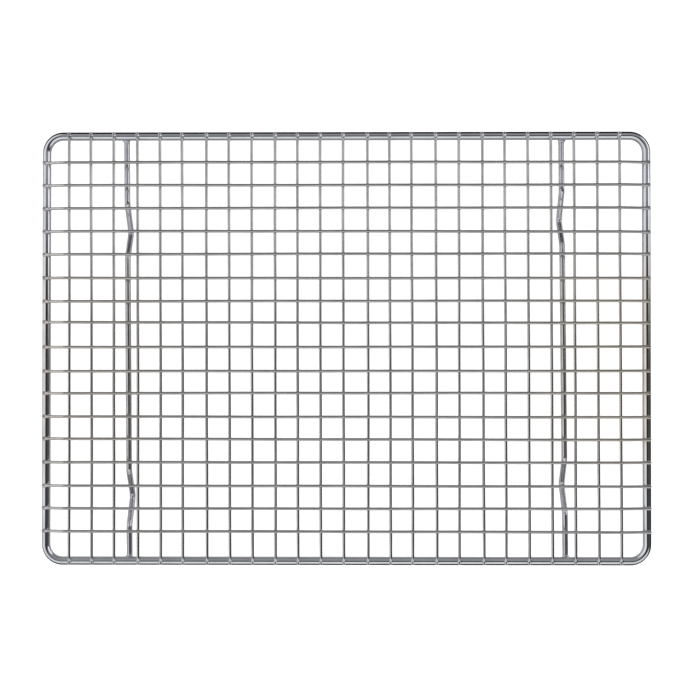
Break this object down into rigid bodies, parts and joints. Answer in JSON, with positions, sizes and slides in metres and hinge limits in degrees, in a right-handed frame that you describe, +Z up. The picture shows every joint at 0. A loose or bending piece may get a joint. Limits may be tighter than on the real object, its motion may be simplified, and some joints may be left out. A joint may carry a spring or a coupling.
{
  "type": "cooling rack",
  "caption": "Rectangular wire rack with a square mesh on a thick round rim, held off the table by two cross bars with V-shaped feet, for cooling baked goods.",
  "frame": {"origin": "on the table surface, under the middle of the rim", "axes": "+X along the rack's long side, +Y across it, +Z up out of the table"},
  "size_m": [0.419, 0.2984, 0.0254],
  "materials": {
    "rim_chrome": "bright chrome plate on drawn steel wire",
    "mesh_chrome": "bright chrome plate on thin drawn steel wire",
    "foot_chrome": "bright chrome plate on bent steel wire"
  },
  "bodies": {
    "root": {"rim_wire": "rim_chrome", "cross_wire_01": "mesh_chrome", "cross_wire_02": "mesh_chrome", "cross_wire_03": "mesh_chrome", "cross_wire_04": "mesh_chrome", "cross_wire_05": "mesh_chrome", "cross_wire_06": "mesh_chrome", "cross_wire_07": "mesh_chrome", "cross_wire_08": "mesh_chrome", "cross_wire_09": "mesh_chrome", "cross_wire_10": "mesh_chrome", "cross_wire_11": "mesh_chrome", "cross_wire_12": "mesh_chrome", "cross_wire_13": "mesh_chrome", "cross_wire_14": "mesh_chrome", "cross_wire_15": "mesh_chrome", "cross_wire_16": "mesh_chrome", "cross_wire_17": "mesh_chrome", "cross_wire_18": "mesh_chrome", "cross_wire_19": "mesh_chrome", "cross_wire_20": "mesh_chrome", "cross_wire_21": "mesh_chrome", "cross_wire_22": "mesh_chrome", "cross_wire_23": "mesh_chrome", "cross_wire_24": "mesh_chrome", "cross_wire_25": "mesh_chrome", "long_wire_01": "mesh_chrome", "long_wire_02": "mesh_chrome", "long_wire_03": "mesh_chrome", "long_wire_04": "mesh_chrome", "long_wire_05": "mesh_chrome", "long_wire_06": "mesh_chrome", "long_wire_07": "mesh_chrome", "long_wire_08": "mesh_chrome", "long_wire_09": "mesh_chrome", "long_wire_10": "mesh_chrome", "long_wire_11": "mesh_chrome", "long_wire_12": "mesh_chrome", "long_wire_13": "mesh_chrome", "long_wire_14": "mesh_chrome", "long_wire_15": "mesh_chrome", "long_wire_16": "mesh_chrome", "long_wire_17": "mesh_chrome", "left_foot_bar": "foot_chrome", "right_foot_bar": "foot_chrome"}
  },
  "joints": []
}
